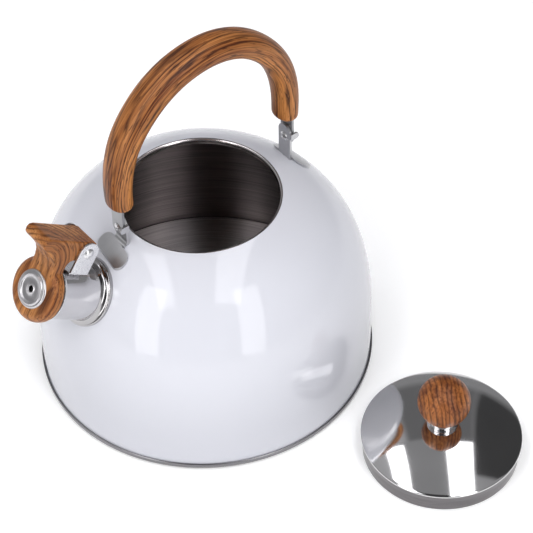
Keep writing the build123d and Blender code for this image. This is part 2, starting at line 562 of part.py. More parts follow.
# the ferrule is a low collar: its underside follows the dome and its recess follows the ball of the knob
UP = 0.01
ball = KNOB_R + 0.05
z79, z74, z68 = (KNOB_Z - math.sqrt(ball ** 2 - t * t) for t in (7.9, 7.4, 6.8))
zb = lid_outer(9.2) + UP
e = [
    ThreePointArc((2.7, 0, lid_outer(2.7) + UP), (6.0, 0, lid_outer(6.0) + UP), (9.2, 0, zb)),
    ThreePointArc((9.2, 0, zb), (9.45, 0, zb + 0.1), (9.55, 0, zb + 0.35)),
    ThreePointArc((9.55, 0, zb + 0.35), (9.25, 0, zb + 1.7), (9.7, 0, 28.3)),
    ThreePointArc((9.7, 0, 28.3), (9.75, 0, z79 - 0.25), (9.3, 0, z79)),
    Line((9.3, 0, z79), (7.9, 0, z79)),
    ThreePointArc((7.9, 0, z79), (7.4, 0, z74), (6.8, 0, z68)),
    Line((6.8, 0, z68), (6.3, 0, 28.4)),
    Line((6.3, 0, 28.4), (2.7, 0, 28.4)),
    Line((2.7, 0, 28.4), (2.7, 0, lid_outer(2.7) + UP)),
]
ferrule = revolve(Face(Wire(e)), Axis.Z, 360)
save(lid_at * ferrule, "knob_ferrule")

knob = Pos(0, 0, KNOB_Z) * Sphere(KNOB_R)
knob = knob - box(-20, 20, -20, 20, 20, 28.45)
knob -= Pos(0, 0, 28) * Cylinder(3.6, 13.5, align=(Align.CENTER, Align.CENTER, Align.MIN))
save(lid_at * knob, "lid_knob")
insert = Pos(0, 0, 28.5) * (Cylinder(3.55, 12.8, align=(Align.CENTER, Align.CENTER, Align.MIN)) - Cylinder(2.47, 40))
save(lid_at * insert, "knob_threaded_insert")

zw = lid_inner(7.0)
washer = Pos(0, 0, zw - 1.03) * (Cylinder(7.0, 1.0, align=(Align.CENTER, Align.CENTER, Align.MIN)) - Cylinder(2.7, 5))
save(lid_at * washer, "lid_washer")
zh = zw - 1.06
screw = Pos(0, 0, zh) * Cylinder(2.42, 39.0 - zh, align=(Align.CENTER, Align.CENTER, Align.MIN))
screw += Pos(0, 0, zh) * Rot(180, 0, 0) * (Cylinder(4.6, 1.6, align=(Align.CENTER, Align.CENTER, Align.MIN)) + Pos(0, 0, 1.6) * dome_head(4.6, 1.2))
cross = box(-2.4, 2.4, -0.45, 0.45, zh - 4, zh - 1.3) + box(-0.45, 0.45, -2.4, 2.4, zh - 4, zh - 1.3)
screw -= cross
save(lid_at * screw, "lid_screw")

print("collar z", COLLAR_BOTTOM, COLLAR_TOP, "lip crest z", lip_c[1] + lip_rho)
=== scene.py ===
import bpy
import bmesh
import math
from mathutils import Matrix, Vector


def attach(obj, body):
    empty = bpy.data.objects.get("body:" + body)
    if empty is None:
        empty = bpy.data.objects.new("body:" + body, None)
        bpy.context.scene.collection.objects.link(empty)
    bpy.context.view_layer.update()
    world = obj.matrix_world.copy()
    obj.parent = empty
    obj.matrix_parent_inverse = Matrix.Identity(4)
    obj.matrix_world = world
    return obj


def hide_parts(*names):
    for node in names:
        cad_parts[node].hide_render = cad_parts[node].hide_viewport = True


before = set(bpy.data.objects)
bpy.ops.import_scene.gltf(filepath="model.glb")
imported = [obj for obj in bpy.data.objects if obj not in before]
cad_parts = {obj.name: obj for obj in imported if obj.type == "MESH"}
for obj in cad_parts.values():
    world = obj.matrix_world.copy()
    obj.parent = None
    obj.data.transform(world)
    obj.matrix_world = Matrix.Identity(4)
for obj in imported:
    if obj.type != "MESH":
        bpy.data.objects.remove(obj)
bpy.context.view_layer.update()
MM = 0.001
COL = bpy.context.scene.collection

# ------------------------------------------------------------------ dimensions shared with the frame (mm)
R_BODY, WALL, Z_DOME, H_DOME, P_DOME = 105.0, 0.8, 29.74, 106.46, 2.5288
R_MOUTH, LIP_START, LIP_STRAIGHT = 48.1, 49.9, 2.0
FLOOR_TOP, PAN_T, SEAM_R, SEAM_TOP, SEAM_BOTTOM, Z_WALL_END = 9.2, 0.8, 106.1, 4.6, 1.0, 2.0
PHI = math.radians(36.0)
S0 = Vector((-86.12, 0, 103.72))
TUBE_R, TUBE_T, TUBE_END, LIP_R, FLANGE_R = 17.2, 0.8, 33.0, 18.7, 20.9
PIV_U, PIV_W = 23.7, 31.8
DISC_R, DISC_BACK, DISC_FRONT = 19.1, 34.0, 41.2
PIVOT_Z = 138.1
LID_XY = (56.0, -160.5)
LID_T, LID_SKIRT_R, LID_EDGE_R = 0.7, 47.6, 48.9
LID_Z_EDGE, LID_DOME_R = 14.0, 108.0
KNOB_R, KNOB_Z = 15.9, 43.2

# spout axes: x is w (up across the spout), y is y, z is u (out along the spout)
SPOUT = Matrix(((math.sin(PHI), 0, -math.cos(PHI), S0.x), (0, 1, 0, 0), (math.cos(PHI), 0, math.sin(PHI), S0.z), (0, 0, 0, 1)))


def to_m(mat):
    m = mat.copy()
    m.translation *= MM
    return m


# ------------------------------------------------------------------ shader helpers
class Mat:
    def __init__(self, name):
        self.m = bpy.data.materials.new(name)
        self.m.use_nodes = True
        self.t = self.m.node_tree
        self.t.nodes.clear()
        self.out = self.n("ShaderNodeOutputMaterial")
        self.b = self.n("ShaderNodeBsdfPrincipled")
        self.l(self.b.outputs["BSDF"], self.out.inputs["Surface"])

    def n(self, kind, **kw):
        nd = self.t.nodes.new(kind)
        for k, v in kw.items():
            if k.startswith("i_"):
                nd.inputs[k[2:].replace("_", " ")].default_value = v
            else:
                setattr(nd, k, v)
        return nd

    def l(self, a, b):
        self.t.links.new(a, b)

    def set(self, **kw):
        for k, v in kw.items():
            self.b.inputs[k.replace("_", " ")].default_value = v

    def math(self, op, a, b=None, c=None, clamp=False):
        nd = self.n("ShaderNodeMath", operation=op, use_clamp=clamp)
        for i, v in enumerate((a, b, c)):
            if v is None:
                continue
            if isinstance(v, (int, float)):
                nd.inputs[i].default_value = v
            else:
                self.l(v, nd.inputs[i])
        return nd.outputs[0]

    def ramp(self, fac, stops, interp="LINEAR"):
        nd = self.n("ShaderNodeValToRGB")
        nd.color_ramp.interpolation = interp
        els = nd.color_ramp.elements
        while len(els) < len(stops):
            els.new(0.5)
        for e, (p, c) in zip(els, stops):
            e.position = p
            e.color = (c[0], c[1], c[2], 1) if len(c) == 3 else c
        self.l(fac, nd.inputs["Fac"])
        return nd.outputs["Color"]

    def mix(self, fac, a, b, blend="MIX"):
        nd = self.n("ShaderNodeMix", data_type="RGBA", blend_type=blend)
        for s, v in ((nd.inputs["Factor"], fac), (nd.inputs["A"], a), (nd.inputs["B"], b)):
            pass
        fi, ai, bi = nd.inputs[0], nd.inputs[6], nd.inputs[7]
        for s, v in ((fi, fac), (ai, a), (bi, b)):
            if isinstance(v, (int, float)):
                s.default_value = v
            elif isinstance(v, tuple):
                s.default_value = (v[0], v[1], v[2], 1)
            else:
                self.l(v, s)
        return nd.outputs[2]

    def vec(self, src, scale=(1, 1, 1), loc=(0, 0, 0), rot=(0, 0, 0)):
        nd = self.n("ShaderNodeMapping")
        nd.inputs["Scale"].default_value = scale
        nd.inputs["Location"].default_value = loc
        nd.inputs["Rotation"].default_value = rot
        self.l(src, nd.inputs["Vector"])
        return nd.outputs["Vector"]

    def noise(self, vec, scale=1.0, detail=4.0, rough=0.5, dist=0.0):
        nd = self.n("ShaderNodeTexNoise")
        nd.inputs["Scale"].default_value = scale
        nd.inputs["Detail"].default_value = detail
        nd.inputs["Roughness"].default_value = rough
        nd.inputs["Distortion"].default_value = dist
        self.l(vec, nd.inputs["Vector"])
        return nd.outputs["Fac"]

    def attr(self, name):
        return self.n("ShaderNodeAttribute", attribute_name=name).outputs["Vector"]

    def obj(self):
        return self.n("ShaderNodeTexCoord").outputs["Object"]

    def bump(self, h, strength=0.3, dist=0.0003, normal=None):
        nd = self.n("ShaderNodeBump")
        nd.inputs["Strength"].default_value = strength
        nd.inputs["Distance"].default_value = dist
        self.l(h, nd.inputs["Height"])
        if normal is not None:
            self.l(normal, nd.inputs["Normal"])
        return nd.outputs["Normal"]


def make_enamel():
    m = Mat("white_enamel_gloss")
    o = m.obj()
    tone = m.noise(o, scale=9, detail=2)
    col = m.ramp(tone, [(0.3, (0.64, 0.648, 0.70)), (0.7, (0.665, 0.672, 0.722))])
    # painted shade: the enamel colour is mixed darker towards the bottom of the body (by height), standing in for the
    # shade the lower body gets
    sep = m.n("ShaderNodeSeparateXYZ")
    m.l(o, sep.inputs[0])
    painted_low_shade = m.ramp(m.math("MULTIPLY", sep.outputs["Z"], 5.0), [(0.08, (1, 1, 1)), (0.42, (0, 0, 0))], "EASE")
    m.l(m.mix(painted_low_shade, col, (0.555, 0.562, 0.61)), m.b.inputs["Base Color"])
    rg = m.noise(o, scale=60, detail=3)
    r = m.math("MULTIPLY_ADD", rg, 0.04, 0.045)
    m.l(r, m.b.inputs["Roughness"])
    orange = m.noise(o, scale=320, detail=2)
    m.l(m.bump(orange, 0.05, 0.0002), m.b.inputs["Normal"])
    m.set(IOR=1.43, Coat_Weight=0.09, Coat_Roughness=0.03)
    return m.m


def make_brushed(name, base, r0, r1, attr="brush", bump=0.12, fine=1.0, dark=None, aniso=0.7):
    """Steel brushed along the turning direction: the attribute holds (cos, sin, distance along the profile)."""
    m = Mat(name)
    a = m.attr(attr)
    f1 = m.noise(m.vec(a, (1.3, 1.3, 2600 * fine)), 1.0, 5, 0.6)
    f2 = m.noise(m.vec(a, (0.7, 0.7, 700 * fine), (3.1, 1.7, 0)), 1.0, 4, 0.6)
    s = m.math("ADD", m.math("MULTIPLY", f1, 0.6), m.math("MULTIPLY", f2, 0.4))
    d = dark or tuple(v * 0.72 for v in base)
    m.l(m.ramp(s, [(0.36, d), (0.64, base)]), m.b.inputs["Base Color"])
    m.l(m.math("MULTIPLY_ADD", s, r1 - r0, r0), m.b.inputs["Roughness"])
    m.l(m.bump(s, bump, 0.00012), m.b.inputs["Normal"])
    m.set(Metallic=1.0, Anisotropic=aniso, Anisotropic_Rotation=0.25)
    tg = m.n("ShaderNodeTangent", direction_type="RADIAL", axis="Z")
    m.l(tg.outputs["Tangent"], m.b.inputs["Tangent"])
    return m.m


def make_polished(name, base=(0.80, 0.79, 0.78), rough=0.06):
    m = Mat(name)
    o = m.obj()
    sc = m.noise(m.vec(o, (900, 60, 900)), 1.0, 4, 0.6)
    sm = m.noise(o, 45, 3, 0.5)
    m.l(m.ramp(sm, [(0.3, tuple(v * 0.95 for v in base)), (0.7, base)]), m.b.inputs["Base Color"])
    m.l(m.math("MULTIPLY_ADD", m.math("ADD", m.math("MULTIPLY", sc, 0.5), m.math("MULTIPLY", sm, 0.5)), 0.06, rough - 0.02), m.b.inputs["Roughness"])
    m.l(m.bump(sc, 0.02, 0.0001), m.b.inputs["Normal"])
    m.set(Metallic=1.0)
    return m.m


def make_satin(name, base=(0.56, 0.56, 0.57), rough=0.3, along=(60, 900, 60)):
    m = Mat(name)
    o = m.obj()
    g = m.noise(m.vec(o, along), 1.0, 5, 0.65)
    c = m.noise(o, 1400, 2, 0.5)
    s = m.math("ADD", m.math("MULTIPLY", g, 0.7), m.math("MULTIPLY", c, 0.3))
    m.l(m.ramp(s, [(0.3, tuple(v * 0.92 for v in base)), (0.7, base)]), m.b.inputs["Base Color"])
    m.l(m.math("MULTIPLY_ADD", s, 0.10, rough - 0.03), m.b.inputs["Roughness"])
    m.l(m.bump(s, 0.025, 0.00006), m.b.inputs["Normal"])
    m.set(Metallic=1.0)
    return m.m


def make_wood(name, attr="grain", seed=0.0, lo=(0.045, 0.009, 0.003), mid=(0.165, 0.040, 0.0065), hi=(0.54, 0.21, 0.056), pitch=2.4, core=(0.034, 0.021), k=1.0, lines=1.0, warp=0.013, jitter=0.003):
    """Printed wood grain. The attribute holds unbent coordinates in metres, with x along the grain. Growth layers are warped cylinders round a far core, pitch mm apart."""
    m = Mat(name)
    a = m.attr(attr)
    w1 = m.noise(m.vec(a, (11, 62 * k, 62 * k), (seed, seed * 1.7, 2.0)), 1.0, 2, 0.5)
    w2 = m.noise(m.vec(a, (24, 300 * k, 300 * k), (seed * 3, 1.0, seed)), 1.0, 3, 0.55)
    sp = m.n("ShaderNodeVectorMath", operation="MULTIPLY_ADD")
    m.l(a, sp.inputs[0])
    sp.inputs[1].default_value = (0.0, 1.0, 1.0)
    sp.inputs[2].default_value = (0.0, core[0], core[1])
    ln = m.n("ShaderNodeVectorMath", operation="LENGTH")
    m.l(sp.outputs[0], ln.inputs[0])
    d = m.math("ADD", ln.outputs["Value"], m.math("ADD", m.math("MULTIPLY", w1, warp), m.math("MULTIPLY", w2, jitter)))
    ring = m.math("FRACT", m.math("DIVIDE", d, pitch * 0.001))
    line = m.ramp(ring, [(0.0, (0.85,) * 3), (0.07, (1,) * 3), (0.26, (0.30,) * 3), (0.55, (0.02,) * 3), (0.80, (0.16,) * 3), (1.0, (0.85,) * 3)])
    broad = m.noise(m.vec(a, (9, 130 * k, 130 * k), (seed, 0, seed)), 1.0, 3, 0.55)
    streak = m.noise(m.vec(a, (13, 620 * k, 620 * k), (seed * 2, 5, 1)), 1.0, 5, 0.65)
    fine = m.noise(m.vec(a, (34, 1900 * k, 1900 * k), (0, seed, 3)), 1.0, 3, 0.6)
    pore = m.noise(m.vec(a, (120, 1500 * k, 1500 * k), (7, 2, seed)), 1.0, 2, 0.5)
    t = m.math("ADD", m.math("MULTIPLY", broad, 0.42), m.math("ADD", m.math("MULTIPLY", streak, 0.38), m.math("MULTIPLY", fine, 0.20)))
    base = m.ramp(t, [(0.40, mid), (0.50, tuple((p + q) / 2 for p, q in zip(mid, hi))), (0.59, hi)])
    some = m.ramp(m.noise(m.vec(a, (14, 190 * k, 190 * k), (3, seed, 9)), 1.0, 3, 0.6), [(0.36, (0.5,) * 3), (0.58, (1,) * 3)])
    c1 = m.mix(m.math("MULTIPLY", m.math("MULTIPLY", line, some), 0.92 * lines, clamp=True), base, lo)
    pf = m.math("MULTIPLY", m.ramp(pore, [(0.34, (1, 1, 1)), (0.40, (0, 0, 0))]), 0.75)
    c2 = m.mix(pf, c1, tuple(x * 0.75 for x in lo))
    m.l(c2, m.b.inputs["Base Color"])
    m.l(m.math("MULTIPLY_ADD", streak, -0.20, 0.52), m.b.inputs["Roughness"])
    h = m.math("SUBTRACT", m.math("MULTIPLY", t, 0.6), m.math("MULTIPLY", pf, 0.5))
    m.l(m.bump(h, 0.22, 0.00025), m.b.inputs["Normal"])
    m.set(IOR=1.42)
    m.b.inputs["Specular IOR Level"].default_value = 0.35
    return m.m


def make_silicone():
    m = Mat("black_silicone_matt")
    o = m.obj()
    g = m.noise(o, 900, 3)
    m.l(m.ramp(g, [(0.3, (0.010, 0.010, 0.011)), (0.7, (0.022, 0.022, 0.024))]), m.b.inputs["Base Color"])
    m.l(m.math("MULTIPLY_ADD", g, 0.1, 0.5), m.b.inputs["Roughness"])
    m.l(m.bump(g, 0.05, 0.0001), m.b.inputs["Normal"])
    return m.m


ENAMEL = make_enamel()
# painted shade: the inside wall's brushed steel is coloured far darker than the inside floor's, standing in for the
# shade inside the body
INSIDE = make_brushed("inside_steel_painted_shade", (0.27, 0.235, 0.23), 0.32, 0.42, bump=0.12, dark=(0.13, 0.115, 0.115), aniso=0.96)
# painted light: the inside floor's brushed steel is coloured near white, a lit copy of the dark inside wall steel
FLOORM = make_brushed("floor_steel_painted_light", (0.96, 0.91, 0.91), 0.27, 0.36, bump=0.10, dark=(0.62, 0.58, 0.58), aniso=0.97)
RIM = make_brushed("rim_steel", (0.50, 0.49, 0.50), 0.16, 0.30, bump=0.05, fine=0.6)
BASE_RIM = make_brushed("base_rim_steel", (0.27, 0.265, 0.275), 0.22, 0.34, bump=0.05, fine=0.6)
LIPM = make_brushed("mouth_lip_steel", (0.78, 0.74, 0.74), 0.16, 0.26, bump=0.03, fine=0.4)
FLANGEM = make_polished("spout_flange_steel", (0.44, 0.43, 0.435), 0.12)
FACEM = make_satin("whistle_face_steel", (0.62, 0.61, 0.62), 0.27, (500, 500, 500))
STRAP = make_satin("strap_steel", (0.36, 0.36, 0.37), 0.30)
POL = make_polished("polished_steel", (0.66, 0.65, 0.655), 0.07)
LIDPOL = make_polished("lid_polished_steel", (0.72, 0.715, 0.715), 0.07)
SATIN = make_satin("satin_steel")
BRACKET = make_satin("bracket_steel", (0.74, 0.74, 0.75), 0.26, (900, 60, 900))
PLAIN = make_satin("plain_steel", (0.5, 0.5, 0.5), 0.35, (400, 400, 400))
BRASS = make_satin("plain_brass", (0.72, 0.52, 0.22), 0.3, (300, 300, 300))
ALU = make_satin("plain_aluminium", (0.75, 0.75, 0.76), 0.4, (300, 300, 300))
WOOD = make_wood("grip_wood_print", seed=1.3, lo=(0.030, 0.006, 0.002), mid=(0.145, 0.034, 0.0065), hi=(0.62, 0.255, 0.075), pitch=2.0, jitter=0.0036)
WOOD_L = make_wood("lever_wood_print", seed=4.1, k=0.8, lo=(0.055, 0.013, 0.004), mid=(0.25, 0.078, 0.018), hi=(0.56, 0.245, 0.078), pitch=2.8, warp=0.009, jitter=0.0009)
WOOD_K = make_wood("knob_wood_print", seed=7.7, k=1.0, pitch=2.7, core=(0.5, 0.0), lo=(0.03, 0.006, 0.002), mid=(0.12, 0.028, 0.006), hi=(0.44, 0.155, 0.042), warp=0.006, jitter=0.0010)
RUB = make_silicone()


# ------------------------------------------------------------------ mesh helpers
def add_attr(me, name, values):
    at = me.attributes.new(name, "FLOAT_VECTOR", "POINT")
    flat = [c for v in values for c in v]
    at.data.foreach_set("vector", flat)


def finish_mesh(me, angle=35):
    me.shade_smooth()
    me.set_sharp_from_angle(angle=math.radians(angle))


def lathe(name, prof, mats, seg=192, mat=None, closed=True, clamp=None, attr="brush", angle=35, flip=False):
    """prof: list of (r, z, material index of the stretch that starts here) in mm, turned about local Z.
    mat places it. clamp(theta, r, z) may move z."""
    n = len(prof)
    verts, att = [], []
    path = [0.0]
    for i in range(1, n):
        path.append(path[-1] + math.hypot(prof[i][0] - prof[i - 1][0], prof[i][1] - prof[i - 1][1]))
    for j in range(seg):
        th = 2 * math.pi * j / seg
        c, s = math.cos(th), math.sin(th)
        for i, p in enumerate(prof):
            r, z = p[0], p[1]
            if clamp:
                z = clamp(th, r, z)
            verts.append(Vector((r * c, r * s, z)) * MM)
            att.append((c * 2, s * 2, path[i] * MM))
    faces, idx = [], []
    last = n if closed else n - 1
    for j in range(seg):
        k = (j + 1) % seg
        for i in range(last):
            i2 = (i + 1) % n
            f = (j * n + i, k * n + i, k * n + i2, j * n + i2)
            if prof[i][0] < 1e-6 and prof[i2][0] < 1e-6:
                continue
            faces.append(f[::-1] if flip else f)
            idx.append(prof[i][2] if len(prof[i]) > 2 else 0)
    me = bpy.data.meshes.new(name)
    me.from_pydata([tuple(v) for v in verts], [], faces)
    me.polygons.foreach_set("material_index", idx)
    add_attr(me, attr, att)
    for m in mats:
        me.materials.append(m)
    bm = bmesh.new()
    bm.from_mesh(me)
    bmesh.ops.remove_doubles(bm, verts=bm.verts, dist=1e-7)
    bmesh.ops.dissolve_degenerate(bm, edges=bm.edges, dist=1e-8)
    bmesh.ops.recalc_face_normals(bm, faces=bm.faces)
    bm.to_mesh(me)
    bm.free()
    if mat is not None:
        me.transform(to_m(mat))
    finish_mesh(me, angle)
    o = bpy.data.objects.new(name, me)
    COL.objects.link(o)
    return o


def arc(cx, cz, r, a0, a1, n, m=0):
    """Points of an arc, angles in degrees."""
    return [(cx + r * math.cos(math.radians(a0 + (a1 - a0) * i / n)), cz + r * math.sin(math.radians(a0 + (a1 - a0) * i / n)), m) for i in range(n + 1)]


def boolean(obj, cutter, op="DIFFERENCE"):
    md = obj.modifiers.new("cut", "BOOLEAN")
    md.operation = op
    md.solver = "EXACT"
    md.object = cutter
    dg = bpy.context.evaluated_depsgraph_get()
    me = bpy.data.meshes.new_from_object(obj.evaluated_get(dg))
    old = obj.data
    obj.modifiers.clear()
    obj.data = me
    bpy.data.meshes.remove(old)
    bpy.data.objects.remove(cutter)


def cyl_obj(name, r, z0, z1, mat, seg=64):
    me = bpy.data.meshes.new(name)
    bm = bmesh.new()
    bmesh.ops.create_cone(bm, cap_ends=True, segments=seg, radius1=r * MM, radius2=r * MM, depth=(z1 - z0) * MM,
                          matrix=Matrix.Translation((0, 0, (z0 + z1) / 2 * MM)))
    bm.to_mesh(me)
    bm.free()
    me.transform(to_m(mat))
    o = bpy.data.objects.new(name, me)
    COL.objects.link(o)
    return o


def place(obj, body, slot, *nodes):
    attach(obj, body)
    if nodes:
        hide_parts(*nodes)
    return obj


# ------------------------------------------------------------------ body
def dome_z(r):
    return Z_DOME + H_DOME * max(0.0, 1 - (r / R_BODY) ** P_DOME) ** (1 / P_DOME)


def dome_n(r, z):
    nr = (r / R_BODY) ** (P_DOME - 1) / R_BODY
    nz = (max(z - Z_DOME, 0) / H_DOME) ** (P_DOME - 1) / H_DOME
    k = math.hypot(nr, nz)
    return nr / k, nz / k


def dome_curve(r_end, off, n):
    z_end = dome_z(r_end)
    a_end = math.atan2(((z_end - Z_DOME) / H_DOME) ** (P_DOME / 2), (r_end / R_BODY) ** (P_DOME / 2))
    out = []
    for i in range(n + 1):
        a = a_end * (i / n) ** 1.15
        r, z = (R_BODY, Z_DOME) if i == 0 else (R_BODY * math.cos(a) ** (2 / P_DOME), Z_DOME + H_DOME * math.sin(a) ** (2 / P_DOME))
        nr, nz = dome_n(r, z)
        out.append((r + off * nr, z + off * nz))
    return out


lz = dome_z(LIP_START)
ln = dome_n(LIP_START, lz)
rho = (LIP_START - R_MOUTH) / (1 + ln[0])
lc = (LIP_START - ln[0] * rho, lz - ln[1] * rho)
ct, cb = lc[1], lc[1] - LIP_STRAIGHT
a0 = math.degrees(math.atan2(ln[1], ln[0]))
outer = dome_curve(LIP_START, 0, 72)
inner = dome_curve(LIP_START, -WALL, 60)
prof = [(R_BODY, Z_WALL_END, 0), (R_BODY, 16, 0)]
prof += [(r, z, 0) for r, z in outer]
lip = arc(lc[0], lc[1], rho, a0, 180, 14)
prof += [(r, z, 0 if i < 1 else 1) for i, (r, z, _) in enumerate(lip)][1:]
prof += [(R_MOUTH, cb, 1)] + [(r, z, 1) for r, z, _ in arc(R_MOUTH + WALL / 2, cb, WALL / 2, 180, 360, 6)][1:]
prof += [(R_MOUTH + WALL, ct, 1)]
prof += [(r, z, 1) for r, z, _ in arc(lc[0], lc[1], rho - WALL, 180, a0, 6)][1:-1]
prof += [(r, z, 1) for r, z in reversed(inner)]
prof += [(R_BODY - WALL, Z_WALL_END, 1)]
prof = [(r, z, 2 if m == 1 and ct - 1.2 < z and abs(r - R_MOUTH) < 1.0 and r < LIP_START - 0.1 and z >= ct - 1.2 else m) for r, z, m in prof]
body = lathe("body_shell_skin", prof, [ENAMEL, INSIDE, LIPM], seg=256, angle=40)
boolean(body, cyl_obj("cut_spout", TUBE_R - TUBE_T, -20, 14, SPOUT))
finish_mesh(body.data, 40)
place(body, "kettle", "white_enamel", "body_shell")

# base pan with its rolled seam
r_in, r_out = R_BODY - WALL - 0.05, R_BODY + 0.05
leg = r_in - PAN_T
ub = Z_WALL_END - 0.1
cr = 2.4
prof = [(0.0, FLOOR_TOP, 0), (20, FLOOR_TOP, 0), (50, FLOOR_TOP, 0), (80, FLOOR_TOP, 0)]
prof += arc(r_in - cr, FLOOR_TOP - cr, cr, 90, 0, 8)
prof += arc((r_in + r_out) / 2, ub, (r_out - r_in) / 2, 180, 360, 6, 1)
prof += arc((r_out + SEAM_R) / 2, SEAM_TOP - 0.5, (SEAM_R - r_out) / 2, 180, 0, 6, 1)
prof += arc(SEAM_R - 1.1, SEAM_BOTTOM + 1.1, 1.1, 0, -90, 6, 1)
prof += arc(leg + 0.6, SEAM_BOTTOM + 0.6, 0.6, 270, 180, 4, 1)
prof += [(r, z, 1) for r, z, _ in arc(r_in - cr, FLOOR_TOP - cr, cr - PAN_T, 0, 90, 6)]
prof += [(0.0, FLOOR_TOP - PAN_T, 1)]
pan = lathe("base_pan_skin", prof, [FLOORM, BASE_RIM], seg=256, closed=False, angle=40)
place(pan, "kettle", "brushed_steel", "base_pan")


# ------------------------------------------------------------------ spout
def dome_gap(P):
    """Distance-like value, positive outside the dome."""
    r = math.hypot(P.x, P.y)
    if r > R_BODY - 0.001:
        return r - R_BODY + 0.001
    return (P.z - dome_z(r)) * 0.7


def on_dome(th, r, lift=0.05):
    """u at which the line at angle th, radius r of the spout's axis leaves the dome."""
    lo, hi = -30.0, 20.0
    for _ in range(40):
        mid = (lo + hi) / 2
        P = SPOUT @ Vector((r * math.cos(th), r * math.sin(th), mid))
        if dome_gap(P) > lift:
            hi = mid
        else:
            lo = mid
    return hi


def keep_out(th, r, z):
    return max(z, on_dome(th, r))


t0, t1 = TUBE_R - TUBE_T, TUBE_R
E = TUBE_END
prof = [(t1, -8, 0), (t1, 4, 0), (t1, 16, 0), (t1, E - 2.8, 0), (t1 + 0.12, E - 1.9, 0), (t1 + 0.5, E - 1.05, 0), (t1 + 1.05, E - 0.5, 0)]
prof += arc(LIP_R - 0.28, E - 0.28, 0.28, 0, 90, 5)
prof += [(t1 + 0.9, E - 0.08, 0), (t1 + 0.25, E - 0.4, 0), (t0 + 0.45, E - 1.0, 0), (t0 + 0.1, E - 1.8, 0), (t0, E - 2.6, 0), (t0, 16, 0), (t0, 4, 0), (t0, -8, 0)]
tube = lathe("spout_tube_skin", prof, [POL], seg=160, mat=SPOUT, clamp=keep_out, angle=45)
place(tube, "kettle", "polished_steel", "spout_tube")
g = TUBE_R + 0.03
prof = [(g, -8, 0), (FLANGE_R, -8, 0), (FLANGE_R, -1.0, 0)]
prof += arc(FLANGE_R - 0.75, -0.85, 0.75, 0, 90, 6)
prof += [(FLANGE_R - 1.4, 0.02, 0), (FLANGE_R - 2.1, 0.45, 0), (g + 0.95, 1.0, 0), (g + 0.55, 1.6, 0), (g + 0.2, 2.5, 0), (g + 0.02, 3.6, 0), (g, 3.6, 0)]
flange = lathe("spout_flange_skin", prof, [FLANGEM], seg=160, mat=SPOUT, clamp=keep_out, angle=45)
place(flange, "kettle", "polished_steel", "spout_flange")

# ------------------------------------------------------------------ whistle lever
OUTLINE = [
    (18.4, 36.0), (19.4, 38.1), (54.9, 38.1), (57.1, 37.4), (58.1, 35.4), (57.8, 32.8), (56.3, 31.4),
    (50.3, 28.2), (45.6, 25.0), (43.2, 21.6), (42.0, 17.0), (41.3, 10.0), (34.5, 10.0),
    (34.3, 21.6), (33.2, 24.6), (30.4, 25.8), (28.0, 25.5), (23.7, 25.2), (19.6, 27.0), (17.8, 31.0),
]
HALF = 9.7


def extrude_outline(name, pts, half, mat):
    me = bpy.data.meshes.new(name)
    bm = bmesh.new()
    lo = [bm.verts.new((w * MM, -half * MM, u * MM)) for u, w in pts]
    hi = [bm.verts.new((w * MM, half * MM, u * MM)) for u, w in pts]
    n = len(pts)
    bm.faces.new(lo)
    bm.faces.new(hi[::-1])
    for i in range(n):
        j = (i + 1) % n
        bm.faces.new((lo[i], lo[j], hi[j], hi[i]))
    bmesh.ops.recalc_face_normals(bm, faces=bm.faces)
    bm.to_mesh(me)
    bm.free()
    me.transform(to_m(mat))
    o = bpy.data.objects.new(name, me)
    COL.objects.link(o)
    return o


I4 = Matrix.Identity(4)
lever = extrude_outline("whistle_lever_moulding", OUTLINE, HALF, I4)
prof = [(0, DISC_BACK, 0)] + [(DISC_R - 0.6, DISC_BACK, 0)] + arc(DISC_R - 0.3, DISC_BACK + 0.6, 0.5, -90, 0, 4)[1:] + [(DISC_R + 0.2, DISC_BACK + 2.6, 0)]
prof += [(DISC_R + 0.2 - 4.2 * (1 - math.cos(math.radians(t))) , DISC_BACK + 2.6 + 4.75 * math.sin(math.radians(t)), 0) for t in (15, 30, 45, 60, 75, 90)]
prof += [(0, DISC_BACK + 7.35, 0)]
disc = lathe("disc_tmp", prof, [WOOD_L], seg=96, closed=True)
boolean(lever, disc, "UNION")
# remesh finely, then relax, so the tab, the neck and the disc flow into one another
md = lever.modifiers.new("remesh", "REMESH")
md.mode = "VOXEL"
md.voxel_size = 0.00055
sm = lever.modifiers.new("smooth", "SMOOTH")
sm.factor = 0.5
sm.iterations = 9
dg = bpy.context.evaluated_depsgraph_get()
me = bpy.data.meshes.new_from_object(lever.evaluated_get(dg))
lever.modifiers.clear()
lever.data = me
# pocket round the rivet, slot for the spring's leg and the whistle's cavity
ROTY = Matrix.Rotation(math.radians(-90), 4, "X")


def cyl_across(name, r, y0, y1):
    m = Matrix.Translation((PIV_W, 0, PIV_U)) @ ROTY
    return cyl_obj(name, r, y0, y1, m, 48)


